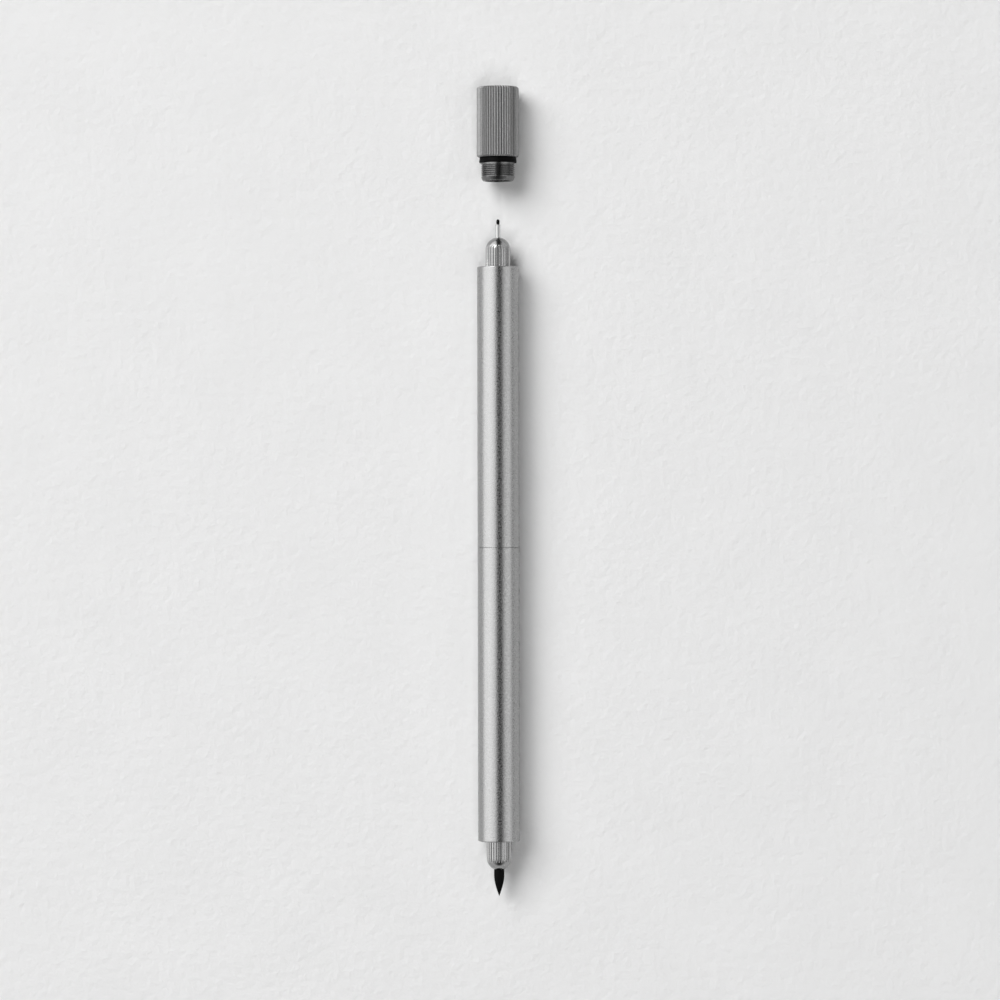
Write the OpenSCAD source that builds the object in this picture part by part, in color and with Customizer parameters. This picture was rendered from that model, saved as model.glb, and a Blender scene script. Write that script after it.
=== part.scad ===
// Twin-tip pen: a fineliner at one end, a brush at the other, and one screw cap. Two barrel halves
// screw together over a joiner, and each half holds its own ink cartridge behind a fluted nose.
// The pen lies along Y on the ground with the fineliner towards +Y, and the cap lies off that end,
// in line with it.

/* [Barrel] */
// Outside diameter of the two barrel halves and of the cap
barrel_d = 10; // [9:0.1:14]
// Length of the front half, from the seam to its rim
front_l = 66.8; // [50:0.1:90]
// Length of the rear half, from the seam to its rim
rear_l = 69.9; // [50:0.1:90]
// Wall of a barrel round the seat of the cap's seal
rim_wall = 0.475; // [0.35:0.025:0.7]
// Wall of a barrel from its outside to the crests of the thread in its mouth
mouth_wall = 0.95; // [0.85:0.05:1.3]
// Rounding of the rims
rim_round = 0.4; // [0.1:0.05:0.6]
// Bevel of the two edges that meet at the seam
seam_bevel = 0.08; // [0.04:0.01:0.2]
// Gap left at the seam when the halves are screwed home
seam_gap = 0.05; // [0.02:0.01:0.1]
// Room between the end of the cap's spigot and the floor of the mouth
floor_room = 0.3; // [0.1:0.1:1]

/* [Cap] */
// Number of ridges round the cap
ridges = 48; // [24:1:72]
// Depth of the grooves between the ridges
ridge_depth = 0.3; // [0.1:0.05:0.4]
// Width of a groove at its floor
ridge_floor = 0.08; // [0.04:0.01:0.15]
// Width of a groove at the outside of the cap
ridge_gap = 0.5; // [0.2:0.05:0.6]
// Bevel at both ends of the ridges
cap_bevel = 0.3; // [0.1:0.05:0.6]
// Thickness of the cap's closed end
cap_end_wall = 3.05; // [1:0.05:5]
// Distance from the rim to the cap's shoulder with the cap laid off the pen
cap_off = 26.1; // [20:0.1:60]
// Room between the longest tip and the end of the cap's hollow
tip_room = 0.5; // [0.3:0.1:2]

/* [Cap spigot] */
// Length of the seat for the black seal
seal_l = 1.4; // [0.8:0.1:2.5]
// Depth of the seal's seat below the root of the thread
seal_sink = 0.15; // [0.05:0.05:0.3]
// Rounding of the seal's section
seal_round = 0.3; // [0.1:0.05:0.4]
// Length of the plain collar between the seal and the thread
collar_l = 0.3; // [0.1:0.1:1]
// Length of the cap's thread
cap_thread_l = 3; // [2:0.1:6]
// Pitch of the cap's thread
cap_pitch = 0.5; // [0.4:0.05:1]
// Depth of the cap's thread
cap_thread_depth = 0.25; // [0.15:0.05:0.35]
// Length of the tapered lead at the end of the spigot
lead_l = 1; // [0.5:0.1:2]
// Drop in radius along the lead
lead_taper = 0.24; // [0.1:0.02:0.4]
// Wall of the spigot under its thread
spigot_wall = 0.65; // [0.5:0.05:0.9]

/* [Noses] */
// Length of a nose's straight part beyond the rim
nose_out = 4.05; // [2:0.05:8]
// Number of flutes round a nose
flutes = 28; // [16:1:40]
// Depth of a flute
flute_depth = 0.18; // [0.08:0.02:0.3]
// Width of a flute at its floor
flute_floor = 0.06; // [0.04:0.01:0.15]
// Width of a flute at the outside of the nose
flute_gap = 0.4; // [0.2:0.02:0.5]
// Height cut off the dome of the brush nose
dome_cut = 0.35; // [0.2:0.05:0.8]
// Thickness of the flange that holds a nose behind its ledge
flange_t = 1.5; // [0.8:0.1:3]
// Length of a nose's tail in the cartridge tube
tail_l = 3; // [2:0.1:6]
// Thickness of the seal ring round a nose's tail
nose_seal_t = 0.7; // [0.4:0.05:0.9]

/* [Fineliner] */
// Outside diameter of the steel sleeve
sleeve_d = 1.15; // [0.9:0.05:2]
// Wall of the sleeve
sleeve_wall = 0.2; // [0.1:0.02:0.3]
// Length of the sleeve beyond the nose
sleeve_out = 3.05; // [1:0.05:5]
// Length of the sleeve held in the nose
sleeve_hold = 6; // [3:0.1:9]
// Length of the nib beyond the sleeve
nib_out = 1.25; // [0.6:0.05:2]
// Length of the nib in the reservoir
nib_soak = 6; // [2:0.1:12]

/* [Brush] */
// Largest diameter of the brush
brush_d = 2.4; // [1.6:0.05:3]
// Swell in radius from the brush's root to its belly
brush_swell = 0.05; // [0.02:0.01:0.15]
// Length of the brush beyond the nose
brush_out = 6.45; // [4:0.05:10]
// Distance from the nose to the belly of the brush
brush_belly = 1.3; // [0.5:0.1:2.5]
// Roundness of the brush's taper, where 1 is a straight cone
brush_curve = 1.58; // [1.2:0.02:2.5]
// Step in radius from the brush's root to its stem
stem_step = 0.3; // [0.15:0.05:0.5]
// Length of the brush's stem in the reservoir
stem_soak = 6; // [2:0.1:12]
// Wall of the collar that grips the brush's stem
grip_wall = 0.7; // [0.4:0.05:0.9]

/* [Cartridges] */
// Width of the ledge that a nose's flange bears on
ledge_w = 0.4; // [0.25:0.05:0.7]
// Thickness of the ledge
ledge_t = 2; // [1:0.1:4]
// Wall of a cartridge tube
tube_wall = 0.4; // [0.25:0.05:0.6]
// Thickness of an end plug's head
plug_head_t = 1.5; // [0.8:0.1:3]
// Length of an end plug in its tube
plug_l = 2.5; // [1.5:0.1:5]
// Diameter of the pull recess in an end plug and of the bumper's hole
pull_d = 2; // [1:0.1:3]
// Depth of the pull recess
pull_l = 1.6; // [0.5:0.1:3]
// Thickness of the bumper between the two cartridges
bumper_t = 3; // [1:0.1:6]

/* [Joiner] */
// Wall of the joiner under its thread
joiner_wall = 0.5; // [0.3:0.05:0.6]
// Length of the joiner bonded into the front half
joiner_hold = 6; // [3:0.1:10]
// Length of the joiner's thread
joiner_thread_l = 5.5; // [3:0.1:9]
// Pitch of the joiner's thread
joiner_pitch = 0.75; // [0.6:0.05:1]
// Depth of the joiner's thread
joiner_thread_depth = 0.45; // [0.3:0.05:0.5]
// Length of the land between the seal ring and the thread
joiner_land = 0.3; // [0.1:0.1:1]
// Thickness of the joiner's seal ring
joiner_seal_t = 0.6; // [0.4:0.05:0.7]

/* [Clearances] */
// Radial room of a push fit
slip = 0.02; // [0.01:0.01:0.05]
// Room between faces that seat on each other
seat = 0.02; // [0.01:0.01:0.05]
// Radial room of the cap's thread and seal in the mouth
cap_room = 0.05; // [0.03:0.01:0.1]
// Radial room of a nose in the cap's bore
nose_room = 0.15; // [0.1:0.05:0.4]
// Radial room of a cartridge in the barrel
cartridge_room = 0.08; // [0.05:0.01:0.15]
// Radial room of an ink reservoir in its tube
reservoir_room = 0.1; // [0.05:0.05:0.3]
// Radial room between the joiner's thread and the rear half
thread_room = 0.1; // [0.08:0.01:0.15]
// Room on each flank of the joiner's thread
flank_room = 0.08; // [0.05:0.01:0.1]

/* [Hidden] */
$fn = 96;

// Overlap of a cut past the face that it opens
cut = 0.5;
// Straight pieces in one turn of a thread
thread_steps = 24;
// Depth that a thread's ridge reaches into the wall that carries it
thread_bite = 0.05;
// Share of a turn in which a thread's ridge runs out at its ends
thread_fade = 1 / 3;
// Width of a thread's ridge at its root and crest, as a share of the pitch
root_share = 0.73;
crest_share = 0.2;
// Steps along the taper of the brush
brush_steps = 12;
// Most of a wall that a rounding takes up
round_share = 0.85;

// Radii of the mouth and of the cap's spigot, from the outside in
barrel_r = barrel_d / 2;
seal_seat_r = barrel_r - rim_wall;
mouth_crest_r = barrel_r - mouth_wall;
mouth_groove_r = mouth_crest_r + cap_thread_depth;
seal_r = seal_seat_r - cap_room;
cap_crest_r = mouth_crest_r - cap_room;
cap_root_r = cap_crest_r - cap_thread_depth;
seal_core_r = cap_root_r - seal_sink;
cap_bore_r = cap_root_r - spigot_wall;
nose_r = cap_bore_r - nose_room;

// Radii of the barrel's bore and of the cartridges in it
ledge_r = nose_r + slip;
bore_r = ledge_r + ledge_w;
cartridge_r = bore_r - cartridge_room;
tube_r = cartridge_r - tube_wall;
tail_r = tube_r - slip;
reservoir_r = tube_r - reservoir_room;
nose_seal_r = tube_r - slip - nose_seal_t / 2;
tail_groove_r = nose_seal_r - nose_seal_t / 2 - slip;

// Radii of the joiner and of the rear half's thread
joiner_root_r = bore_r + joiner_wall;
joiner_crest_r = joiner_root_r + joiner_thread_depth;
rear_crest_r = joiner_root_r + thread_room;
rear_groove_r = joiner_crest_r + thread_room;
joiner_seal_r = joiner_root_r + slip + joiner_seal_t / 2;
joiner_pocket_r = max(joiner_seal_r + joiner_seal_t / 2 + slip, rear_groove_r);

// Radii of the two tips
sleeve_r = sleeve_d / 2;
nib_r = sleeve_r - sleeve_wall - slip;
brush_r = brush_d / 2;
brush_root_r = brush_r - brush_swell;
stem_r = brush_root_r - stem_step;
grip_r = stem_r + slip + grip_wall;

// Depths in a barrel's mouth, from the rim
spigot_l = seal_l + collar_l + cap_thread_l + lead_l;
mouth_l = spigot_l + floor_room;
flange_depth = mouth_l + ledge_t + seat;
tube_depth = flange_depth + flange_t + seat;
tail_depth = tube_depth + tail_l;
seal_depth = tube_depth + tail_l / 2;

// Reach of the tips from the rim, and the cap that covers the longer of them
dome_reach = nose_out + nose_r;
nib_reach = dome_reach + sleeve_out + nib_out;
brush_nose_reach = dome_reach - dome_cut;
brush_reach = brush_nose_reach + brush_out;
cap_hollow_l = max(nib_reach, brush_reach) + tip_room;
cap_l = cap_hollow_l + cap_end_wall;

// Heights along the joiner, from the seam towards the rear
joiner_neck_l = seam_gap + joiner_seal_t + 2 * slip;
joiner_thread_top = joiner_neck_l + joiner_land;
joiner_l = joiner_thread_top + joiner_thread_l;
rear_thread_l = joiner_l + joiner_pitch;

// Place of the seam along Y when the whole set is centred on the origin
overall_l = brush_reach + rear_l + front_l + cap_off + cap_l;
seam_y = brush_reach + rear_l - overall_l / 2;

// Turns the pen's own axis, which runs up from the seam to the fineliner, into its place along Y
module lay_down() {
    translate([0, seam_y, barrel_r]) rotate([-90, 0, 0]) children();
}

// Places a piece by its distance beyond the front rim
module at_front_rim() {
    lay_down() translate([0, 0, front_l]) children();
}

// Places a piece by its distance beyond the rear rim, turned end for end
module at_rear_rim() {
    lay_down() translate([0, 0, -rear_l]) rotate([180, 0, 0]) children();
}

// Places a piece by its distance beyond the cap's shoulder
module at_cap() {
    at_front_rim() translate([0, 0, cap_off]) children();
}

// Rectangle of a turned profile between two radii and two heights
module band(r_in, r_out, z_low, z_high) {
    translate([r_in, z_low]) square([r_out - r_in, z_high - z_low]);
}

// Solid of revolution between two heights
module disc(r, z_low, z_high) {
    translate([0, 0, z_low]) cylinder(r = r, h = z_high - z_low);
}

// Four corners of a thread's ridge, at one angle and height
function helix_corners(angle, z, r_in, r_out, w_in, w_out) = [
    for (p = [[r_in, -w_in / 2], [r_out, -w_out / 2], [r_out, w_out / 2], [r_in, w_in / 2]])
        [p[0] * cos(angle), p[0] * sin(angle), z + p[1]]];

// Right-hand helical ridge between two heights, whose ends fade into the wall. Its angle follows
// from its height alone, so ridges and grooves of the same pitch mesh.
module helix_ridge(z_low, z_high, root_r, crest_r, root_w, crest_w, pitch) {
    flank = (root_w - crest_w) / (crest_r - root_r);
    r_in = root_r - thread_bite;
    w_in = root_w + flank * thread_bite;
    r_end = root_r - thread_bite / 2;
    n = floor((z_high - z_low) / pitch * thread_steps);
    fade = thread_fade * thread_steps;
    corners = [for (i = [0:n])
        let (z = z_low + pitch * i / thread_steps, k = min(1, i / fade, (n - i) / fade))
        each helix_corners(360 * z / pitch, z, r_in, r_end + (crest_r - r_end) * k, w_in, crest_w)];
    sides = [for (i = [0:n - 1], j = [0:3])
        let (k = (j + 1) % 4, a = 4 * i, b = 4 * i + 4)
        each [[a + j, a + k, b + j], [a + k, b + k, b + j]]];
    last = 4 * n;
    ends = [[0, 2, 1], [0, 3, 2], [last, last + 1, last + 2], [last, last + 2, last + 3]];
    polyhedron(corners, concat(sides, ends));
}

// Straight grooves round a turned piece, from a floor radius outwards
module grooves(count, r, depth, floor_w, gap_w, z_low, z_high) {
    slope = (gap_w - floor_w) / depth;
    r_out = r + cut;
    w_out = gap_w + slope * cut;
    translate([0, 0, z_low]) linear_extrude(z_high - z_low)
        for (i = [0:count - 1])
            rotate(360 * i / count)
                polygon([[r - depth, -floor_w / 2], [r_out, -w_out / 2],
                    [r_out, w_out / 2], [r - depth, floor_w / 2]]);
}

// Half profile of a barrel from its seam up to its rim, bored for a cartridge and a nose
module barrel_profile(half_l, seam_z) {
    rounding = min(rim_round, rim_wall * round_share);
    difference() {
        union() {
            polygon([[0, seam_z], [barrel_r - seam_bevel, seam_z], [barrel_r, seam_z + seam_bevel],
                [barrel_r, half_l - rounding], [0, half_l - rounding]]);
            band(0, barrel_r - rounding, half_l - 2 * rounding, half_l);
            translate([barrel_r - rounding, half_l - rounding]) circle(rounding);
        }
        band(-cut, bore_r, seam_z - cut, half_l - mouth_l - ledge_t);
        band(-cut, ledge_r, seam_z - cut, half_l + cut);
        band(-cut, mouth_crest_r, half_l - mouth_l, half_l + cut);
        band(-cut, seal_seat_r, half_l - seal_l - seat, half_l + cut);
    }
}

// Groove of the thread in a barrel's mouth, below the rim
module mouth_thread() {
    helix_ridge(-mouth_l + cap_pitch, -seal_l + cap_pitch / 2, mouth_crest_r, mouth_groove_r,
        cap_pitch * root_share, cap_pitch * crest_share, cap_pitch);
}

module front_barrel() {
    color("silver") lay_down() difference() {
        rotate_extrude() difference() {
            barrel_profile(front_l, 0);
            band(-cut, joiner_crest_r + slip, -cut, joiner_hold + seat);
        }
        translate([0, 0, front_l]) mouth_thread();
    }
}

module rear_barrel() {
    groove_w = joiner_pitch * root_share + 2 * flank_room;
    floor_w = joiner_pitch * crest_share + 2 * flank_room;
    flank = (groove_w - floor_w) / joiner_thread_depth;
    color("silver") lay_down() difference() {
        rotate([180, 0, 0]) rotate_extrude() difference() {
            barrel_profile(rear_l, seam_gap);
            band(-cut, joiner_pocket_r, 0, joiner_thread_top + seat);
            band(-cut, rear_crest_r, 0, rear_thread_l);
        }
        helix_ridge(-rear_thread_l, -joiner_thread_top + joiner_pitch, rear_crest_r, rear_groove_r,
            groove_w - flank * thread_room, floor_w - flank * thread_room, joiner_pitch);
        translate([0, 0, -rear_l]) rotate([180, 0, 0]) mouth_thread();
    }
}

// Threaded tube that is bonded into the front half and screws into the rear half
module barrel_joiner() {
    lead = joiner_thread_depth;
    color("darkgray") lay_down() difference() {
        union() {
            disc(joiner_crest_r, 0, joiner_hold);
            disc(joiner_root_r, -joiner_l, cut);
            disc(joiner_crest_r, -joiner_thread_top, -joiner_neck_l);
            helix_ridge(-joiner_l + lead, -joiner_thread_top, joiner_root_r, joiner_crest_r,
                joiner_pitch * root_share, joiner_pitch * crest_share, joiner_pitch);
        }
        disc(bore_r, -joiner_l - cut, joiner_hold + cut);
    }
}

module joiner_seal_ring() {
    color("black") lay_down() rotate_extrude()
        translate([joiner_seal_r, -joiner_neck_l + slip + joiner_seal_t / 2]) circle(d = joiner_seal_t);
}

// Half profile of the cap: a closed hollow body and the stepped spigot below its shoulder
module cap_profile() {
    lead_end_r = cap_crest_r - lead_taper;
    rounding = min(lead_taper, (lead_end_r - cap_bore_r) / 2);
    difference() {
        union() {
            polygon([[0, 0], [barrel_r - cap_bevel, 0], [barrel_r, cap_bevel],
                [barrel_r, cap_l - cap_bevel], [barrel_r - cap_bevel, cap_l], [0, cap_l]]);
            band(0, seal_core_r, -seal_l - cut, cut);
            band(0, cap_crest_r, -seal_l - collar_l, -seal_l);
            band(0, cap_root_r, -spigot_l + lead_l - cut, -seal_l);
            polygon([[0, -spigot_l], [lead_end_r - rounding, -spigot_l], [lead_end_r, rounding - spigot_l],
                [cap_crest_r, lead_l - spigot_l], [0, lead_l - spigot_l]]);
        }
        band(-cut, cap_bore_r, -spigot_l - cut, cap_hollow_l);
    }
}

// Screw cap with a ridged grip, which fits either end of the pen
module cap() {
    color("dimgray") at_cap() union() {
        difference() {
            rotate_extrude() cap_profile();
            grooves(ridges, barrel_r, ridge_depth, ridge_floor, ridge_gap, -cut / 2, cap_l + cut);
        }
        helix_ridge(lead_l - spigot_l, -seal_l - collar_l, cap_root_r, cap_crest_r,
            cap_pitch * root_share, cap_pitch * crest_share, cap_pitch);
    }
}

// Black rubber ring at the root of the spigot, round in its outer corners
module cap_seal_ring() {
    inner_r = seal_core_r + slip;
    rounding = min(seal_round, (seal_r - inner_r) * round_share, (seal_l - 2 * seat) / 2);
    color("black") at_cap() rotate_extrude() union() {
        band(inner_r, seal_r - rounding, seat - seal_l, -seat);
        band(inner_r, seal_r, rounding + seat - seal_l, -seat - rounding);
        for (z = [rounding + seat - seal_l, -seat - rounding])
            translate([seal_r - rounding, z]) circle(rounding);
    }
}

// Half profile of a nose: flange and tail behind the ledge, straight front and domed end
module nose_profile(reach) {
    groove_w = nose_seal_t + 2 * slip;
    difference() {
        union() {
            band(0, nose_r, -flange_depth - cut, nose_out);
            band(0, cartridge_r, -flange_depth - flange_t, -flange_depth);
            band(0, tail_r, -tail_depth, -flange_depth);
            intersection() {
                translate([0, nose_out]) circle(nose_r);
                band(0, nose_r + cut, nose_out - cut, reach);
            }
        }
        band(tail_groove_r, tail_r + cut, -seal_depth - groove_w / 2, -seal_depth + groove_w / 2);
        band(-nose_r - cut, 0, -tail_depth - cut, reach + cut);
    }
}

// Turned metal nose with flutes that run out on its dome
module fluted_nose(reach) {
    difference() {
        rotate_extrude() nose_profile(reach);
        grooves(flutes, nose_r, flute_depth, flute_floor, flute_gap, -mouth_l, reach + cut);
    }
}

module fineliner_nose() {
    color("gainsboro") at_front_rim() difference() {
        fluted_nose(dome_reach);
        disc(nib_r + slip, -tail_depth - cut, dome_reach);
        disc(sleeve_r + slip, dome_reach - sleeve_hold - seat, dome_reach + cut);
    }
}

// Thin steel tube that guides the fineliner nib
module fineliner_sleeve() {
    color("lightgray") at_front_rim() difference() {
        disc(sleeve_r, dome_reach - sleeve_hold, dome_reach + sleeve_out);
        disc(sleeve_r - sleeve_wall, dome_reach - sleeve_hold - cut, dome_reach + sleeve_out + cut);
    }
}

// Round-ended fibre nib that runs back into the ink reservoir
module fineliner_nib() {
    color("black") at_front_rim() union() {
        disc(nib_r, -tail_depth - nib_soak, nib_reach - nib_r);
        translate([0, 0, nib_reach - nib_r]) sphere(nib_r);
    }
}

// Rubber ring that seals a nose's tail in its tube
module nose_seal() {
    color("black") rotate_extrude() translate([nose_seal_r, -seal_depth]) circle(d = nose_seal_t);
}

module fineliner_nose_seal() {
    at_front_rim() nose_seal();
}

// Plastic tube of a cartridge, from the nose's flange to the end plug
module cartridge_tube(half_l) {
    plug_depth = half_l - bumper_t / 2 - plug_head_t - 2 * seat;
    color("whitesmoke") rotate_extrude() band(tube_r, cartridge_r, -plug_depth, -tube_depth);
}

module fineliner_cartridge_tube() {
    at_front_rim() cartridge_tube(front_l);
}

// Fibre rod that holds the ink, drilled for the tail of its tip
module reservoir(half_l, hole_r, hole_l) {
    plug_depth = half_l - bumper_t / 2 - plug_head_t - 2 * seat;
    top = -tail_depth - seat;
    color("dimgray") difference() {
        disc(reservoir_r, -plug_depth + plug_l + seat, top);
        disc(hole_r, top - hole_l, top + cut);
    }
}

module fineliner_reservoir() {
    at_front_rim() reservoir(front_l, nib_r + slip, nib_soak);
}

// Plug that closes a cartridge, with a recess to pull it out by
module end_plug(half_l) {
    head_depth = half_l - bumper_t / 2 - seat;
    color("gray") difference() {
        union() {
            disc(cartridge_r, -head_depth, -head_depth + plug_head_t);
            disc(tail_r, -head_depth, -head_depth + plug_head_t + plug_l);
        }
        disc(pull_d / 2, -head_depth - cut, -head_depth + pull_l);
    }
}

module fineliner_end_plug() {
    at_front_rim() end_plug(front_l);
}

module brush_nose() {
    color("gainsboro") at_rear_rim() difference() {
        fluted_nose(brush_nose_reach);
        disc(brush_root_r + slip, -mouth_l - cut, brush_nose_reach + cut);
        disc(grip_r + slip, -tail_depth - cut, -mouth_l);
    }
}

// Radius of the brush from its belly, at 0, to its point, at 1
function taper_r(t) = brush_r * (1 - pow(t, brush_curve));

// Pointed brush with a stem that runs back through its collar into the reservoir
module brush_tip() {
    belly_z = brush_nose_reach + brush_belly;
    taper_l = brush_out - brush_belly;
    stem_end = -tail_depth - stem_soak;
    color("black") at_rear_rim() rotate_extrude() polygon(concat(
        [[0, stem_end], [stem_r, stem_end], [stem_r, -mouth_l], [brush_root_r, -mouth_l],
            [brush_root_r, brush_nose_reach]],
        [for (i = [0:brush_steps]) [taper_r(i / brush_steps), belly_z + taper_l * i / brush_steps]]));
}

// Plastic bush in the back of the nose that grips the brush's stem
module brush_collar() {
    color("gray") at_rear_rim() difference() {
        disc(grip_r, -tail_depth, -mouth_l - seat);
        disc(stem_r + slip, -tail_depth - cut, -mouth_l + cut);
    }
}

module brush_nose_seal() {
    at_rear_rim() nose_seal();
}

module brush_cartridge_tube() {
    at_rear_rim() cartridge_tube(rear_l);
}

module brush_reservoir() {
    at_rear_rim() reservoir(rear_l, stem_r + slip, stem_soak);
}

module brush_end_plug() {
    at_rear_rim() end_plug(rear_l);
}

// Soft pad across the seam that presses both cartridges against their ledges
module cartridge_bumper() {
    color("slategray") lay_down() rotate_extrude()
        band(pull_d / 2, cartridge_r, -bumper_t / 2, bumper_t / 2);
}

front_barrel();
rear_barrel();
barrel_joiner();
joiner_seal_ring();
cap();
cap_seal_ring();
fineliner_nose();
fineliner_sleeve();
fineliner_nib();
fineliner_nose_seal();
fineliner_cartridge_tube();
fineliner_reservoir();
fineliner_end_plug();
brush_nose();
brush_tip();
brush_collar();
brush_nose_seal();
brush_cartridge_tube();
brush_reservoir();
brush_end_plug();
cartridge_bumper();
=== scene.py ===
import math

import bmesh
import bpy
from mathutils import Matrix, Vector


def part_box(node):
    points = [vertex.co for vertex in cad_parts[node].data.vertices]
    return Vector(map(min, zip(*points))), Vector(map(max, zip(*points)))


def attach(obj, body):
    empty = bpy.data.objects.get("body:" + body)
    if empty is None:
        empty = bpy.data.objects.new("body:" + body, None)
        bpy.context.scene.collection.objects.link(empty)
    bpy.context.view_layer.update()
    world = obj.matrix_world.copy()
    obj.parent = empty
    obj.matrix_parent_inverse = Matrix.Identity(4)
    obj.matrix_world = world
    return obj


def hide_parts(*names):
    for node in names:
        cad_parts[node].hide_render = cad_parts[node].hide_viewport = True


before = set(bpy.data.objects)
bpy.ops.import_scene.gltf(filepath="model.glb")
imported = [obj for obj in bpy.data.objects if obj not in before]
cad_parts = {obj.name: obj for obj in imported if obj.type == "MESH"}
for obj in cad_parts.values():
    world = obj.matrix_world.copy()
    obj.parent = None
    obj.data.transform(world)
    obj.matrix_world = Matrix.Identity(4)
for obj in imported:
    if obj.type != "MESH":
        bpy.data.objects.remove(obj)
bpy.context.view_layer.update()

# Front half of the barrel: a tube of aluminium bar, bored from the seam and threaded in its mouth.
# It is turned, blasted with fine beads and clear anodised, so it is satin with a fine grain.
# Its rim is rounded over, and its edge at the seam is only broken.
MM = 0.001
MERGE = 0.0005 * MM      # points closer than this become one

front_low, front_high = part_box("front_barrel")
axis_z = (front_low[2] + front_high[2]) / 2
barrel_r = (front_high[0] - front_low[0]) / 2
seam_y = front_low[1]
front_rim = front_high[1]

barrel_steps = 160
rim_round = 0.25 * MM
rim_round_steps = 8
guard = 0.06 * MM        # a ring beside each edge, so that the long wall shades straight up to it
seam_bevel = 0.04 * MM
bore_r = 3.37 * MM
ledge_r = 2.97 * MM
ledge_t = 2.0 * MM
mouth_depth = 6.0 * MM
mouth_crest_r = 4.05 * MM
mouth_groove_r = 4.3 * MM
mouth_relief_r = 4.32 * MM
mouth_relief_w = 0.4 * MM
mouth_pitch = 0.5 * MM
seal_seat_r = 4.525 * MM
seal_seat_depth = 1.42 * MM
joiner_pocket_r = 4.34 * MM
joiner_pocket_depth = 6.02 * MM


def arc(r, y, radius, start, end, steps):
    """Points round a corner as (radius, place along the pen), between two angles in degrees."""
    angles = [math.radians(start + (end - start) * i / steps) for i in range(steps + 1)]
    return [(r + radius * math.cos(a), y + radius * math.sin(a)) for a in angles]


def added(bm, old):
    """Corners, edges and faces that a mesh has gained since its old faces, each once and in order."""
    faces = [f for f in bm.faces if f not in old]
    edges = list(dict.fromkeys(e for f in faces for e in f.edges))
    verts = list(dict.fromkeys(v for f in faces for v in f.verts))
    return verts, edges, faces


def turn(bm, outline, steps):
    """Turns an outline of (radius, place along the pen) points round the pen's axis.

    The first of eight parts is turned step by step and the others are copies of it, so errors don't add up.
    """
    parts = 8
    old = set(bm.faces)
    verts = [bm.verts.new((r, y, axis_z)) for r, y in outline]
    edges = [bm.edges.new(pair) for pair in zip(verts, verts[1:])]
    bmesh.ops.spin(bm, geom=verts + edges, cent=(0, 0, axis_z), axis=(0, 1, 0),
                   angle=math.tau / parts, steps=steps // parts)
    verts, edges, faces = added(bm, old)
    bmesh.ops.spin(bm, geom=verts + edges + faces, cent=(0, 0, axis_z), axis=(0, 1, 0),
                   angle=math.tau * (parts - 1) / parts, steps=parts - 1, use_duplicate=True)
    verts, edges, faces = added(bm, old)
    bmesh.ops.remove_doubles(bm, verts=verts, dist=MERGE)


def thread(bm, low, high, wall_r, far_r, pitch, centre_y, wall_share=0.73, far_share=0.2, steps=72):
    """Right-hand thread between two places: its form climbs a pitch in each turn and is trimmed square.

    The form runs from the wall to its far radius and back, and its shares are parts of the pitch.
    """
    spare_turns = 2
    trim_margin = MERGE / 10
    form = ((wall_r, -wall_share / 2), (far_r, -far_share / 2),
            (far_r, far_share / 2), (wall_r, wall_share / 2))
    first = math.floor((low - centre_y) / pitch) - spare_turns
    last = math.ceil((high - centre_y) / pitch) + spare_turns
    outline = [(r, centre_y + (i + share) * pitch) for i in range(first, last) for r, share in form]
    old = set(bm.faces)
    verts = [bm.verts.new((r, y, axis_z)) for r, y in outline]
    edges = [bm.edges.new(pair) for pair in zip(verts, verts[1:])]
    bmesh.ops.spin(bm, geom=verts + edges, cent=(0, 0, axis_z), axis=(0, 1, 0),
                   dvec=(0, pitch / steps, 0), angle=math.tau, steps=steps)
    verts, edges, faces = added(bm, old)
    bmesh.ops.remove_doubles(bm, verts=verts, dist=MERGE)
    for y, side in ((low, -1), (high, 1)):
        verts, edges, faces = added(bm, old)
        bmesh.ops.bisect_plane(bm, geom=verts + edges + faces, dist=trim_margin,
                               plane_co=(0, y, 0), plane_no=(0, side, 0), clear_outer=True)


def bridge(bm, *places):
    """Fills the flat ring between the two open edges at each place, scaled to millimetres for precision."""
    rings = [[e for e in bm.edges if e.is_boundary and all(abs(v.co.y - y) < MERGE for v in e.verts)]
             for y in places]
    bmesh.ops.scale(bm, vec=(1 / MM, 1 / MM, 1 / MM), verts=bm.verts)
    for ring in rings:
        bmesh.ops.triangle_fill(bm, edges=ring, normal=(0, 1, 0), use_beauty=True)
    bmesh.ops.scale(bm, vec=(MM, MM, MM), verts=bm.verts)


def finished(name, bm, material, sharp=35):
    """Closes a mesh, turns its faces outwards and makes it an object, crisp at edges over sharp degrees."""
    bmesh.ops.remove_doubles(bm, verts=bm.verts, dist=MERGE)
    bmesh.ops.recalc_face_normals(bm, faces=bm.faces)
    mesh = bpy.data.meshes.new(name)
    bm.to_mesh(mesh)
    bm.free()
    mesh.polygons.foreach_set("use_smooth", [True] * len(mesh.polygons))
    mesh.set_sharp_from_angle(angle=math.radians(sharp))
    mesh.materials.append(material)
    piece = bpy.data.objects.new(name, mesh)
    bpy.context.scene.collection.objects.link(piece)
    return piece


def finish_of(name, **sockets):
    """Material with the shader's constants set, and the piece's own coordinates to draw on."""
    material = bpy.data.materials.new(name)
    material.use_nodes = True
    tree = material.node_tree
    shader = tree.nodes["Principled BSDF"]
    for socket, value in sockets.items():
        shader.inputs[socket.replace("_", " ")].default_value = value
    return material, tree, shader, tree.nodes.new("ShaderNodeTexCoord").outputs["Object"]


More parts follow.
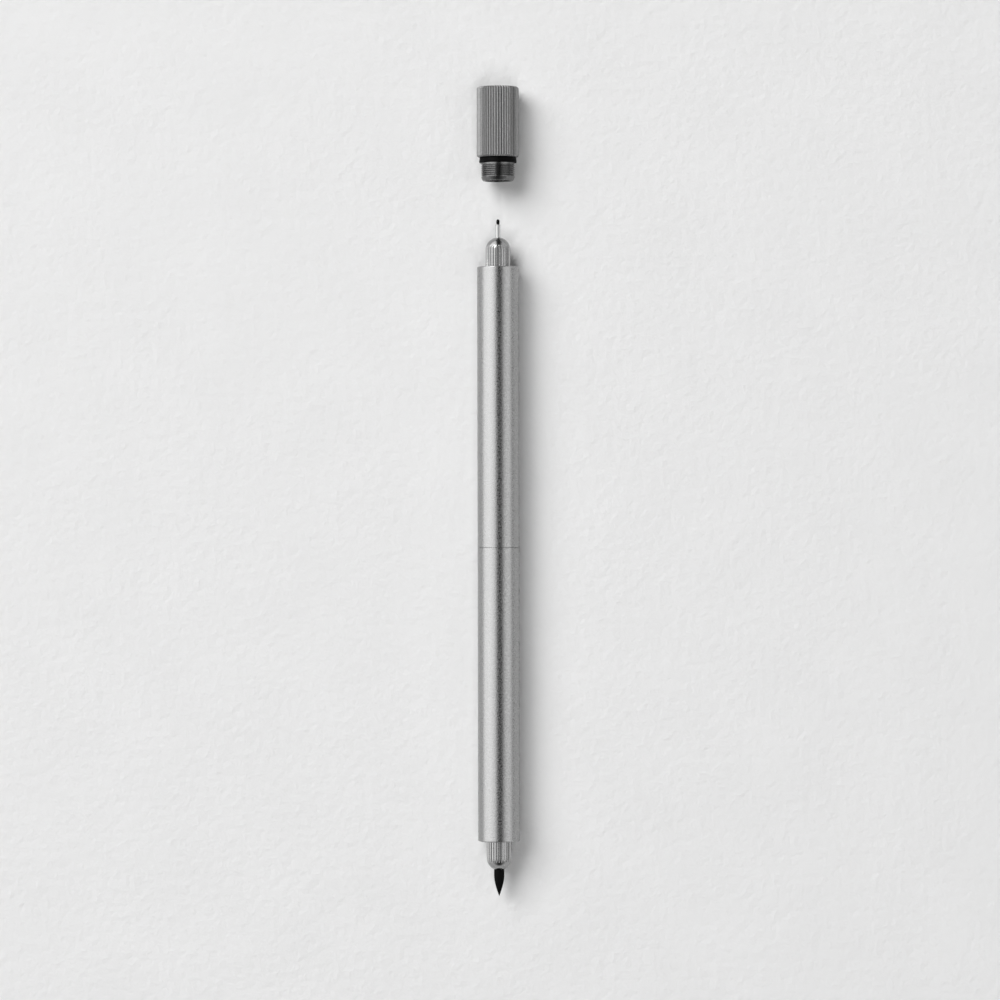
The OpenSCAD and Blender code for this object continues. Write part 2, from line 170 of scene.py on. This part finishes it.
def grain(tree, coords, per_metre, stretch=(1, 1, 1), detail=3.0):
    """Noise of so many grains to the metre, drawn out along an axis where its stretch is small."""
    mapping = tree.nodes.new("ShaderNodeMapping")
    mapping.inputs["Scale"].default_value = stretch
    tree.links.new(coords, mapping.inputs["Vector"])
    noise = tree.nodes.new("ShaderNodeTexNoise")
    noise.inputs["Scale"].default_value = per_metre
    noise.inputs["Detail"].default_value = detail
    tree.links.new(mapping.outputs["Vector"], noise.inputs["Vector"])
    return noise.outputs["Fac"]


def vary(tree, noise, socket, low, high):
    """Drives a socket between two levels, or two colours, by a noise."""
    noise_range = (0.3, 0.7)
    ramp = tree.nodes.new("ShaderNodeValToRGB")
    for stop, place, level in zip(ramp.color_ramp.elements, noise_range, (low, high)):
        stop.position = place
        stop.color = (*level, 1) if isinstance(level, tuple) else (level, level, level, 1)
    tree.links.new(noise, ramp.inputs["Fac"])
    tree.links.new(ramp.outputs["Color"], socket)


def raise_grain(tree, noise, shader, height):
    """Raises the surface by a noise of this height."""
    bump = tree.nodes.new("ShaderNodeBump")
    bump.inputs["Distance"].default_value = height
    tree.links.new(noise, bump.inputs["Height"])
    tree.links.new(bump.outputs["Normal"], shader.inputs["Normal"])


blasted, tree, shader, coords = finish_of("blasted_anodised_aluminium", Metallic=1.0)
vary(tree, grain(tree, coords, per_metre=2600), shader.inputs["Base Color"], low=0.325, high=0.345)
vary(tree, grain(tree, coords, per_metre=2400), shader.inputs["Roughness"], low=0.2, high=0.4)
raise_grain(tree, grain(tree, coords, per_metre=3000, detail=2.0), shader, height=0.023 * MM)

bm = bmesh.new()
mouth_floor = front_rim - mouth_depth
mouth_top = front_rim - seal_seat_depth
mouth_bottom = mouth_floor + mouth_relief_w
thread(bm, mouth_bottom, mouth_top, mouth_crest_r, mouth_groove_r, mouth_pitch, front_rim)
turn(bm, [
    (mouth_relief_r, mouth_bottom), (mouth_relief_r, mouth_floor), (ledge_r, mouth_floor),
    (ledge_r, mouth_floor - ledge_t), (bore_r, mouth_floor - ledge_t), (bore_r, seam_y + joiner_pocket_depth),
    (joiner_pocket_r, seam_y + joiner_pocket_depth), (joiner_pocket_r, seam_y),
    (barrel_r - seam_bevel, seam_y), (barrel_r, seam_y + seam_bevel), (barrel_r, seam_y + seam_bevel + guard),
    (barrel_r, front_rim - rim_round - guard),
    *arc(barrel_r - rim_round, front_rim - rim_round, rim_round, 0, 90, rim_round_steps),
    (seal_seat_r, front_rim), (seal_seat_r, mouth_top)], barrel_steps)
bridge(bm, mouth_bottom, mouth_top)
front_half = finished("front_barrel_half", bm, blasted)
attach(front_half, "front")
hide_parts("front_barrel")

# Joiner: a threaded aluminium tube, bonded into the front half and left as machined.
# A rubber ring lies in the groove at its neck, keeps the seam tight and takes up the thread's play.
joiner_low, joiner_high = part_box("barrel_joiner")
joiner_r = 4.32 * MM
joiner_root_r = 3.87 * MM
joiner_relief_r = 3.85 * MM
joiner_pitch = 0.75 * MM
joiner_chamfer = 0.2 * MM
joiner_edge = 0.04 * MM
neck_low = seam_y - 0.69 * MM
land_low = seam_y - 0.99 * MM
joiner_thread_low = joiner_low[1] + 0.45 * MM
joiner_thread_high = land_low - 0.3 * MM
joiner_ring_r = 4.19 * MM
joiner_ring_t = 0.6 * MM
joiner_ring_steps = 24
joiner_ring_y = seam_y - 0.37 * MM

machined, tree, shader, coords = finish_of("machined_aluminium", Metallic=1.0)
tool_marks = grain(tree, coords, per_metre=6000, stretch=(0.03, 1, 0.03))
vary(tree, tool_marks, shader.inputs["Base Color"], low=0.5, high=0.6)
vary(tree, grain(tree, coords, per_metre=700), shader.inputs["Roughness"], low=0.24, high=0.32)
raise_grain(tree, tool_marks, shader, height=0.006 * MM)

bm = bmesh.new()
thread(bm, joiner_thread_low, joiner_thread_high, joiner_root_r, joiner_r, joiner_pitch, seam_y)
turn(bm, [
    (joiner_relief_r, joiner_thread_high), (joiner_relief_r, land_low),
    (joiner_r - joiner_edge, land_low), (joiner_r, land_low + joiner_edge),
    (joiner_r, neck_low - joiner_edge), (joiner_r - joiner_edge, neck_low),
    (joiner_root_r, neck_low), (joiner_root_r, seam_y), (joiner_r, seam_y),
    (joiner_r, joiner_high[1] - joiner_chamfer), (joiner_r - joiner_chamfer, joiner_high[1]),
    (bore_r, joiner_high[1]), (bore_r, joiner_low[1]),
    (joiner_relief_r - joiner_chamfer, joiner_low[1]), (joiner_relief_r, joiner_low[1] + joiner_chamfer),
    (joiner_relief_r, joiner_thread_low)], barrel_steps)
bridge(bm, joiner_thread_low, joiner_thread_high)
joiner = finished("joiner", bm, machined)
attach(joiner, "front")
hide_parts("barrel_joiner")

rubber, tree, shader, coords = finish_of("moulded_black_rubber", Specular_IOR_Level=0.04)
vary(tree, grain(tree, coords, per_metre=1500), shader.inputs["Base Color"], low=0.001, high=0.003)
vary(tree, grain(tree, coords, per_metre=2500), shader.inputs["Roughness"], low=0.45, high=0.6)
raise_grain(tree, grain(tree, coords, per_metre=7000), shader, height=0.008 * MM)

bm = bmesh.new()
turn(bm, arc(joiner_ring_r, joiner_ring_y, joiner_ring_t / 2, 0, 360, joiner_ring_steps), barrel_steps)
joiner_ring = finished("joiner_ring", bm, rubber)
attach(joiner_ring, "front")
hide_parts("joiner_seal_ring")

# Rear half of the barrel: the same tube as the front half, a little longer, with the same mouth.
# Its seam end is threaded inside for the joiner, behind a pocket for the joiner's rubber ring.
rear_low, rear_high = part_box("rear_barrel")
rear_rim = rear_low[1]
rear_seam = rear_high[1]
ring_pocket_r = 4.51 * MM
ring_pocket_floor = seam_y - 1.01 * MM
rear_crest_r = 3.97 * MM
rear_groove_r = 4.42 * MM
rear_relief_r = 4.44 * MM
rear_thread_floor = seam_y - 7.24 * MM
rear_thread_low = rear_thread_floor + 0.4 * MM
rear_wall_share = 0.826
rear_groove_share = 0.296

bm = bmesh.new()
mouth_floor = rear_rim + mouth_depth
mouth_top = rear_rim + seal_seat_depth
mouth_bottom = mouth_floor - mouth_relief_w
thread(bm, mouth_top, mouth_bottom, mouth_crest_r, mouth_groove_r, mouth_pitch, rear_rim)
thread(bm, rear_thread_low, ring_pocket_floor, rear_crest_r, rear_groove_r, joiner_pitch, seam_y,
       wall_share=rear_wall_share, far_share=rear_groove_share)
turn(bm, [
    (mouth_relief_r, mouth_bottom), (mouth_relief_r, mouth_floor), (ledge_r, mouth_floor),
    (ledge_r, mouth_floor + ledge_t), (bore_r, mouth_floor + ledge_t), (bore_r, rear_thread_floor),
    (rear_relief_r, rear_thread_floor), (rear_relief_r, rear_thread_low)], barrel_steps)
turn(bm, [
    (ring_pocket_r, ring_pocket_floor), (ring_pocket_r, rear_seam),
    (barrel_r - seam_bevel, rear_seam), (barrel_r, rear_seam - seam_bevel),
    (barrel_r, rear_seam - seam_bevel - guard), (barrel_r, rear_rim + rim_round + guard),
    *arc(barrel_r - rim_round, rear_rim + rim_round, rim_round, 0, -90, rim_round_steps),
    (seal_seat_r, rear_rim), (seal_seat_r, mouth_top)], barrel_steps)
bridge(bm, mouth_top, mouth_bottom, rear_thread_low, ring_pocket_floor)
rear_half = finished("rear_barrel_half", bm, blasted)
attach(rear_half, "rear")
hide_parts("rear_barrel")

# Cartridges: a milky extruded tube in each half, with an ink-soaked fibre rod and a moulded end plug.
# A soft cellular pad between the two presses both noses against their ledges. All of it stays
# out of sight, so the plain turned shapes are right and only get their finishes.
def dress(material, *nodes):
    """Gives plain turned pieces their finish."""
    for node in nodes:
        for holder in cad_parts[node].material_slots:
            holder.material = material


milky, tree, shader, coords = finish_of("milky_extruded_plastic", Roughness=0.3, Subsurface_Weight=0.15,
                                        Subsurface_Scale=0.5 * MM)
flow_lines = grain(tree, coords, per_metre=400, stretch=(1, 0.05, 1))
vary(tree, flow_lines, shader.inputs["Base Color"], low=(0.82, 0.82, 0.79), high=(0.88, 0.88, 0.86))
raise_grain(tree, grain(tree, coords, per_metre=3000, stretch=(1, 0.02, 1)), shader, height=0.004 * MM)
dress(milky, "fineliner_cartridge_tube", "brush_cartridge_tube")

soaked, tree, shader, coords = finish_of("ink_soaked_fibre", Roughness=0.85)
strands = grain(tree, coords, per_metre=5000, stretch=(1, 0.03, 1))
vary(tree, strands, shader.inputs["Base Color"], low=(0.03, 0.03, 0.034), high=(0.07, 0.07, 0.076))
raise_grain(tree, strands, shader, height=0.03 * MM)
dress(soaked, "fineliner_reservoir", "brush_reservoir")

plug_plastic, tree, shader, coords = finish_of("moulded_grey_plastic")
vary(tree, grain(tree, coords, per_metre=600), shader.inputs["Base Color"], low=0.27, high=0.33)
vary(tree, grain(tree, coords, per_metre=1800), shader.inputs["Roughness"], low=0.42, high=0.55)
raise_grain(tree, grain(tree, coords, per_metre=6000), shader, height=0.006 * MM)
dress(plug_plastic, "fineliner_end_plug", "brush_end_plug", "brush_collar")

cellular, tree, shader, coords = finish_of("soft_cellular_pad", Roughness=0.9)
cells = grain(tree, coords, per_metre=3000, detail=4.0)
vary(tree, cells, shader.inputs["Base Color"], low=(0.16, 0.17, 0.18), high=(0.24, 0.25, 0.26))
raise_grain(tree, cells, shader, height=0.08 * MM)
dress(cellular, "cartridge_bumper")
dress(rubber, "fineliner_nose_seal", "brush_nose_seal")

# Noses: turned metal, one in each mouth, held behind the ledge by a flange and polished.
# Straight flutes are cut along the front and run out on the dome. The fineliner nose is drilled
# for its sleeve, and the brush nose is cut off flat round its brush.
# Places along a nose are counted outwards from the barrel's rim.
nose_r = 2.95 * MM
nose_out = 4.05 * MM
dome_steps = 28
flange_r = 3.29 * MM
flange_front = -8.02 * MM
flange_back = -9.52 * MM
tail_r = 2.87 * MM
tail_end = -12.54 * MM
tail_groove_r = 2.15 * MM
tail_groove = (-11.41 * MM, -10.67 * MM)
tail_bevel = 0.1 * MM
flutes = 28
flute_steps = 16
flute_depth = 0.18 * MM
flute_gap = 0.4 * MM
flute_floor = 0.06 * MM
flute_start = -6.0 * MM
flute_wall = 0.02 * MM
flute_roundness = 1.35
fineliner_turn = 3.5
brush_turn = 0.0
sleeve_hole_r = 0.595 * MM
sleeve_hole_floor = 0.98 * MM
nib_hole_r = 0.375 * MM
brush_face = 6.65 * MM
brush_hole_r = 1.17 * MM
grip_hole_r = 1.59 * MM


def cut_grooves(bm, low, high, r_out, count, depth, gap, floor, start, roundness):
    """Presses straight grooves into a turned blank, the first of them some degrees off its top.

    A roundness of 1 leaves the edges beside a groove sharp, and a higher one rounds them.
    """
    pitch = math.tau * r_out / count
    for v in bm.verts:
        x, z = v.co.x, v.co.z - axis_z
        r = math.hypot(x, z)
        if low < v.co.y < high and r > r_out - depth:
            place = (math.atan2(x, z) - math.radians(start)) / math.tau * count
            off_middle = abs(place - round(place)) * pitch
            slope = min(1, max(0, (gap / 2 - off_middle) / (gap / 2 - floor / 2)))
            kept = min(r, r_out - depth * slope ** roundness) / r
            v.co.x = x * kept
            v.co.z = axis_z + z * kept


def fluted_nose(name, rim, side, dome_top, flute_turn, holes):
    """Turns a nose that looks along the pen to one side, with its holes, and flutes it."""
    dome_end = math.degrees(math.asin((dome_top - nose_out) / nose_r))
    outline = [
        (tail_r - tail_bevel, tail_end), (tail_r, tail_end + tail_bevel),
        (tail_r, tail_groove[0]), (tail_groove_r, tail_groove[0]),
        (tail_groove_r, tail_groove[1]), (tail_r, tail_groove[1]),
        (tail_r, flange_back), (flange_r, flange_back), (flange_r, flange_front), (nose_r, flange_front),
        (nose_r, flute_start - flute_wall), (nose_r, flute_start + flute_wall),
        *arc(0, nose_out, nose_r, 0, dome_end, dome_steps), *holes, (tail_r - tail_bevel, tail_end)]
    bm = bmesh.new()
    turn(bm, [(r, rim + side * out) for r, out in outline], flutes * flute_steps)
    low, high = sorted((rim + side * flute_start, rim + side * dome_top))
    cut_grooves(bm, low, high, nose_r, flutes, flute_depth, flute_gap, flute_floor, flute_turn,
                flute_roundness)
    return finished(name, bm, polished, sharp=43)


polished, tree, shader, coords = finish_of("polished_turned_metal", Metallic=1.0)
turning = grain(tree, coords, per_metre=7000, stretch=(0.02, 1, 0.02))
vary(tree, turning, shader.inputs["Base Color"], low=0.29, high=0.35)
vary(tree, grain(tree, coords, per_metre=800), shader.inputs["Roughness"], low=0.14, high=0.2)
raise_grain(tree, turning, shader, height=0.002 * MM)

dome_hole_edge = nose_out + math.sqrt(nose_r ** 2 - sleeve_hole_r ** 2)
fineliner_nose = fluted_nose("fluted_fineliner_nose", front_rim, 1, dome_hole_edge, fineliner_turn, [
    (sleeve_hole_r, sleeve_hole_floor), (nib_hole_r, sleeve_hole_floor), (nib_hole_r, tail_end)])
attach(fineliner_nose, "front")
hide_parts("fineliner_nose")

brush_nose = fluted_nose("fluted_brush_nose", rear_rim, -1, brush_face, brush_turn, [
    (brush_hole_r, brush_face), (brush_hole_r, flute_start),
    (grip_hole_r, flute_start), (grip_hole_r, tail_end)])
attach(brush_nose, "brush_unit")
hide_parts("brush_nose")

# Sleeve and nib of the fineliner: a length of drawn steel tube pressed into the nose, bright all over.
# The nib in it is a rod of bonded fibre, ground to a blunt drop and black with ink.
tip_steps = 64
sleeve_low, sleeve_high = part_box("fineliner_sleeve")
sleeve_r = 0.575 * MM
sleeve_bore_r = 0.375 * MM
sleeve_edge = 0.05 * MM
sleeve_edge_steps = 4

drawn, tree, shader, coords = finish_of("drawn_bright_steel", Metallic=1.0)
draw_lines = grain(tree, coords, per_metre=9000, stretch=(1, 0.02, 1))
vary(tree, draw_lines, shader.inputs["Base Color"], low=0.4, high=0.48)
vary(tree, grain(tree, coords, per_metre=2000), shader.inputs["Roughness"], low=0.05, high=0.09)
raise_grain(tree, draw_lines, shader, height=0.001 * MM)

bm = bmesh.new()
turn(bm, [
    (sleeve_bore_r, sleeve_low[1]), (sleeve_r - sleeve_edge, sleeve_low[1]),
    (sleeve_r, sleeve_low[1] + sleeve_edge), (sleeve_r, sleeve_high[1] - sleeve_edge - guard),
    *arc(sleeve_r - sleeve_edge, sleeve_high[1] - sleeve_edge, sleeve_edge, 0, 90, sleeve_edge_steps),
    (sleeve_bore_r + sleeve_edge, sleeve_high[1]), (sleeve_bore_r, sleeve_high[1] - sleeve_edge),
    (sleeve_bore_r, sleeve_low[1])], tip_steps)
sleeve = finished("nib_sleeve", bm, drawn)
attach(sleeve, "front")
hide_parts("fineliner_sleeve")

nib_low, nib_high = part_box("fineliner_nib")
nib_r = 0.355 * MM
nib_tip = nib_high[1]
nib_neck_r = 0.3 * MM
nib_neck_back = sleeve_high[1] - 0.4 * MM
nib_neck_front = sleeve_high[1] - 0.15 * MM
# The drop's radii and their places behind its tip, in millimetres.
nib_drop = ((0.365, -1.0), (0.39, -0.78), (0.39, -0.55), (0.375, -0.4), (0.34, -0.27), (0.285, -0.155),
            (0.205, -0.07), (0.11, -0.018), (0, 0))

ink_fibre, tree, shader, coords = finish_of("inked_bonded_fibre", Specular_IOR_Level=0.05)
strands = grain(tree, coords, per_metre=16000, stretch=(1, 0.05, 1))
vary(tree, strands, shader.inputs["Base Color"], low=0.002, high=0.005)
vary(tree, grain(tree, coords, per_metre=5000), shader.inputs["Roughness"], low=0.4, high=0.55)
raise_grain(tree, strands, shader, height=0.006 * MM)

bm = bmesh.new()
turn(bm, [
    (0, nib_low[1]), (nib_r, nib_low[1]), (nib_r, nib_neck_back), (nib_neck_r, nib_neck_front),
    *[(r * MM, nib_tip + back * MM) for r, back in nib_drop]], tip_steps)
nib = finished("fibre_nib", bm, ink_fibre)
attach(nib, "front")
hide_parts("fineliner_nib")

# Brush: a bundle of fine synthetic fibre, bonded round a stem and ground to a soft point.
# The stem runs back through a collar into the fibre rod, and the hairs are black with ink.
brush_low, brush_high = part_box("brush_tip")
brush_steps = 240
brush_point = brush_low[1]
brush_back = brush_high[1]
stem_r = 0.85 * MM
brush_root = rear_rim + mouth_depth
brush_root_r = 1.15 * MM
brush_r = 1.24 * MM
brush_mouth = rear_rim - brush_face
brush_swell = brush_mouth - 0.2 * MM
brush_belly = brush_mouth - 1.45 * MM
brush_curve = 1.66
taper_steps = 40
hair_depth = 0.025
# Waves of hair round the brush: how many of each, and where it starts, in radians.
hair_waves = ((23, 0.4), (37, 1.9), (61, 4.1))

hairs, tree, shader, coords = finish_of("inked_brush_hair", Specular_IOR_Level=0.05)
strands = grain(tree, coords, per_metre=9000, stretch=(1, 0.04, 1))
vary(tree, strands, shader.inputs["Base Color"], low=0.001, high=0.004)
clumps = grain(tree, coords, per_metre=2500, stretch=(1, 0.1, 1))
vary(tree, clumps, shader.inputs["Roughness"], low=0.5, high=0.7)
raise_grain(tree, strands, shader, height=0.012 * MM)

bm = bmesh.new()
taper = [i / taper_steps for i in range(taper_steps + 1)]
turn(bm, [
    (0, brush_back), (stem_r, brush_back), (stem_r, brush_root), (brush_root_r, brush_root),
    (brush_root_r, brush_mouth), (brush_r, brush_swell),
    *[(brush_r * (1 - t ** brush_curve), brush_belly + t * (brush_point - brush_belly)) for t in taper]],
    brush_steps)
for v in bm.verts:
    if brush_point + MERGE < v.co.y < brush_mouth - MERGE:
        angle = math.atan2(v.co.x, v.co.z - axis_z)
        wave = sum(math.sin(count * angle + start) for count, start in hair_waves) / len(hair_waves)
        kept = 1 - hair_depth * (1 + wave) / 2
        v.co.x *= kept
        v.co.z = axis_z + (v.co.z - axis_z) * kept
brush = finished("hair_brush", bm, hairs, sharp=60)
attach(brush, "brush_unit")
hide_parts("brush_tip")

# Cap: turned from aluminium bar with a straight knurl all along its outside, anodised a darker grey.
# Below its shoulder a hollow spigot carries the seal's seat, a plain collar, the thread and a tapered lead.
# The spigot is turned smooth, and its colour is set darker than the ridged wall's.
cap_low, cap_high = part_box("cap")
spigot_end = cap_low[1]
cap_end = cap_high[1]
shoulder = spigot_end + 5.7 * MM
ridges = 48
ridge_steps = 16
ridge_depth = 0.3 * MM
ridge_gap = 0.654 * MM
ridge_floor = 0
ridge_turn = -4.0
ridge_roundness = 2
cap_bevel = 0.3 * MM
cap_bore_r = 3.1 * MM
cap_hollow_end = shoulder + 13.6 * MM
seal_core_r = 3.6 * MM
collar_r = 4.0 * MM
collar_edge = 0.03 * MM
collar_high = shoulder - 1.4 * MM
collar_low = shoulder - 1.7 * MM
cap_root_r = 3.75 * MM
cap_relief_r = 3.74 * MM
cap_wall_share = 0.95
cap_thread_high = collar_low - 0.15 * MM
cap_thread_low = shoulder - 4.5 * MM
lead_high = shoulder - 4.7 * MM
lead_end_r = 3.76 * MM
lead_bevel = 0.24 * MM
mouth_bevel = 0.1 * MM

knurled, tree, shader, coords = finish_of("knurled_anodised_aluminium", Metallic=1.0)
scores = grain(tree, coords, per_metre=4200, stretch=(1, 0.08, 1))
along = tree.nodes.new("ShaderNodeSeparateXYZ")
tree.links.new(coords, along.inputs["Vector"])
above = tree.nodes.new("ShaderNodeMapRange")
above.inputs["From Min"].default_value = shoulder - cap_bevel
above.inputs["From Max"].default_value = shoulder
tree.links.new(along.outputs["Y"], above.inputs["Value"])
# Below the shoulder the colour is set darker and the finish smoother than on the ridged wall.
for socket, pattern, spigot, wall in (
        ("Base Color", grain(tree, coords, per_metre=2600), (0.13, 0.18), (0.2, 0.26)),
        ("Roughness", scores, (0.2, 0.28), (0.3, 0.4))):
    mixed = tree.nodes.new("ShaderNodeMix")
    mixed.data_type = "RGBA"
    tree.links.new(above.outputs["Result"], mixed.inputs["Factor"])
    tree.links.new(mixed.outputs["Result"], shader.inputs[socket])
    vary(tree, pattern, mixed.inputs["A"], *spigot)
    vary(tree, pattern, mixed.inputs["B"], *wall)
raise_grain(tree, scores, shader, height=0.006 * MM)

bm = bmesh.new()
thread(bm, cap_thread_low, cap_thread_high, cap_root_r, collar_r, mouth_pitch, shoulder,
       wall_share=cap_wall_share)
turn(bm, [
    (cap_relief_r, cap_thread_high), (cap_relief_r, collar_low),
    (collar_r - collar_edge, collar_low), (collar_r, collar_low + collar_edge),
    (collar_r, collar_high - collar_edge), (collar_r - collar_edge, collar_high),
    (seal_core_r, collar_high), (seal_core_r, shoulder), (barrel_r - cap_bevel, shoulder),
    (barrel_r, shoulder + cap_bevel), (barrel_r, shoulder + cap_bevel + guard),
    (barrel_r, cap_end - cap_bevel - guard), (barrel_r, cap_end - cap_bevel),
    (barrel_r - cap_bevel, cap_end), (0, cap_end)], ridges * ridge_steps)
turn(bm, [
    (0, cap_hollow_end), (cap_bore_r, cap_hollow_end), (cap_bore_r, spigot_end + mouth_bevel),
    (cap_bore_r + mouth_bevel, spigot_end), (lead_end_r - lead_bevel, spigot_end),
    (lead_end_r, spigot_end + lead_bevel), (collar_r, lead_high), (cap_relief_r, lead_high),
    (cap_relief_r, cap_thread_low)], ridges * ridge_steps)
bridge(bm, cap_thread_low, cap_thread_high)
cut_grooves(bm, shoulder, cap_end, barrel_r, ridges, ridge_depth, ridge_gap, ridge_floor, ridge_turn,
            ridge_roundness)
cap = finished("knurled_cap", bm, knurled, sharp=43)
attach(cap, "cap")
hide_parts("cap")

# Seal of the cap: a moulded black rubber ring, pushed over the spigot into its seat below the shoulder.
# It widens to a round lip at its lower edge, which wipes the seat in the barrel's mouth.
ring_bore_r = 3.62 * MM
lip_r = 4.475 * MM
lip_round = 0.24 * MM
lip_steps = 10
lip_slope = 20
ring_low = shoulder - 1.38 * MM
ring_high = shoulder - 0.02 * MM
ring_top_r = 4.33 * MM
ring_round = 0.1 * MM
ring_round_steps = 5

bm = bmesh.new()
turn(bm, [
    (ring_bore_r, ring_low),
    *arc(lip_r - lip_round, ring_low + lip_round, lip_round, -90, lip_slope, lip_steps),
    *arc(ring_top_r - ring_round, ring_high - ring_round, ring_round, lip_slope, 90, ring_round_steps),
    (ring_bore_r, ring_high), (ring_bore_r, ring_low)], barrel_steps)
cap_ring = finished("cap_ring", bm, rubber)
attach(cap_ring, "cap_seal")
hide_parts("cap_seal_ring")

# Floor, light and camera: a sheet of pale paper with the pen lying on it, seen straight from above.
# Three soft lamps light the paper, most of it from the upper left. The metal mirrors a window and the
# bright walls of the room on both sides, with a dark strip overhead between them.
floor_half = 3.0
floor_segments = 8

paper, tree, shader, coords = finish_of("pale_paper", Roughness=0.9, Specular_IOR_Level=0.2)
vary(tree, grain(tree, coords, per_metre=60, detail=5.0), shader.inputs["Base Color"], low=0.79, high=0.81)
raise_grain(tree, grain(tree, coords, per_metre=450, detail=3.0), shader, height=0.28 * MM)

bm = bmesh.new()
bmesh.ops.create_grid(bm, x_segments=floor_segments, y_segments=floor_segments, size=floor_half)
floor = finished("paper_floor", bm, paper)


def soft_light(name, place, size, radiance):
    """Square soft light of one radiance all over, facing the pen."""
    light = bpy.data.lights.new(name, "AREA")
    light.size = size
    light.energy = radiance * math.pi * size * size
    lamp = bpy.data.objects.new(name, light)
    lamp.location = place
    lamp.rotation_euler = Vector(place).to_track_quat("Z", "Y").to_euler()
    lamp.visible_camera = False
    bpy.context.scene.collection.objects.link(lamp)
    return lamp


window = soft_light("window_light", place=(-1.6, 1.6, 2.4), size=1.2, radiance=7.6)
window.visible_diffuse = False
for lamp in (soft_light("key_light", place=(-1.65, 1.5, 2.35), size=2.2, radiance=7.15),
             soft_light("overhead_light", place=(0.1, -0.9, 2.4), size=1.3, radiance=3.6),
             soft_light("right_fill", place=(1.9, 0.0, 2.1), size=1.6, radiance=1.1)):
    lamp.visible_glossy = False

world = bpy.data.worlds.new("dim_room")
world.use_nodes = True
bpy.context.scene.world = world
world.cycles_visibility.diffuse = False
tree = world.node_tree
# A direction's parts run from -1 to 1, and the places on the walls from 0 to 1.
half = (0.5, 0.5, 0.5)
across = tree.nodes.new("ShaderNodeMapping")
across.inputs["Scale"].default_value = half
across.inputs["Location"].default_value = half
tree.links.new(tree.nodes.new("ShaderNodeTexCoord").outputs["Generated"], across.inputs["Vector"])
split = tree.nodes.new("ShaderNodeSeparateXYZ")
tree.links.new(across.outputs["Vector"], split.inputs["Vector"])


def wall_levels(levels):
    """Brightness of the room from its left side over the top to its right side."""
    ramp = tree.nodes.new("ShaderNodeValToRGB")
    while len(ramp.color_ramp.elements) < len(levels):
        ramp.color_ramp.elements.new(1)
    for stop, (place, level) in zip(ramp.color_ramp.elements, levels):
        stop.position = place
        stop.color = (level, level, level, 1)
    tree.links.new(split.outputs["X"], ramp.inputs["Fac"])
    return ramp.outputs["Color"]


def faded(near, far, axis, start, end):
    """One look of the room fading into another along an axis."""
    share = tree.nodes.new("ShaderNodeMapRange")
    share.inputs["From Min"].default_value = start
    share.inputs["From Max"].default_value = end
    tree.links.new(split.outputs[axis], share.inputs["Value"])
    fade = tree.nodes.new("ShaderNodeMix")
    fade.data_type = "RGBA"
    tree.links.new(share.outputs["Result"], fade.inputs["Factor"])
    tree.links.new(near, fade.inputs["A"])
    tree.links.new(far, fade.inputs["B"])
    return fade.outputs["Result"]


left_side = ((0, 2.1), (0.125, 2.35), (0.2, 1.95), (0.35, 1.6), (0.4, 0.57), (0.45, 0.05), (0.65, 0.05))
sides = wall_levels((*left_side, (0.725, 0.96), (0.8, 1.48), (0.95, 1.6), (1, 0.43)))
ahead = wall_levels((*left_side, (0.725, 0.62), (0.8, 0.95), (0.95, 1.03), (1, 0.35)))
low_behind = wall_levels(((0, 1.1), (0.3, 0.8), (1, 0.9)))
high_behind = wall_levels(((0, 0.5), (0.25, 0.4), (0.42, 0.05), (0.6, 0.05), (0.75, 0.35), (1, 0.3)))
behind = faded(low_behind, high_behind, "Z", start=0.6, end=0.72)
in_front = faded(sides, ahead, "Y", start=0.53, end=0.62)
room = faded(in_front, behind, "Y", start=0.45, end=0.25)
tree.links.new(room, tree.nodes["Background"].inputs["Color"])

lens_mm = 151.2
sensor_mm = 36
camera_place = (0.36 * MM, -2.0 * MM, 1005 * MM)
camera_roll = math.radians(-0.11)

camera = bpy.data.cameras.new("camera_above")
camera.lens = lens_mm
camera.sensor_width = sensor_mm
camera.dof.use_dof = False
viewer = bpy.data.objects.new("camera_above", camera)
viewer.location = camera_place
viewer.rotation_euler = (0, 0, camera_roll)
bpy.context.scene.collection.objects.link(viewer)
bpy.context.scene.camera = viewer
bpy.context.scene.view_settings.view_transform = "Standard"
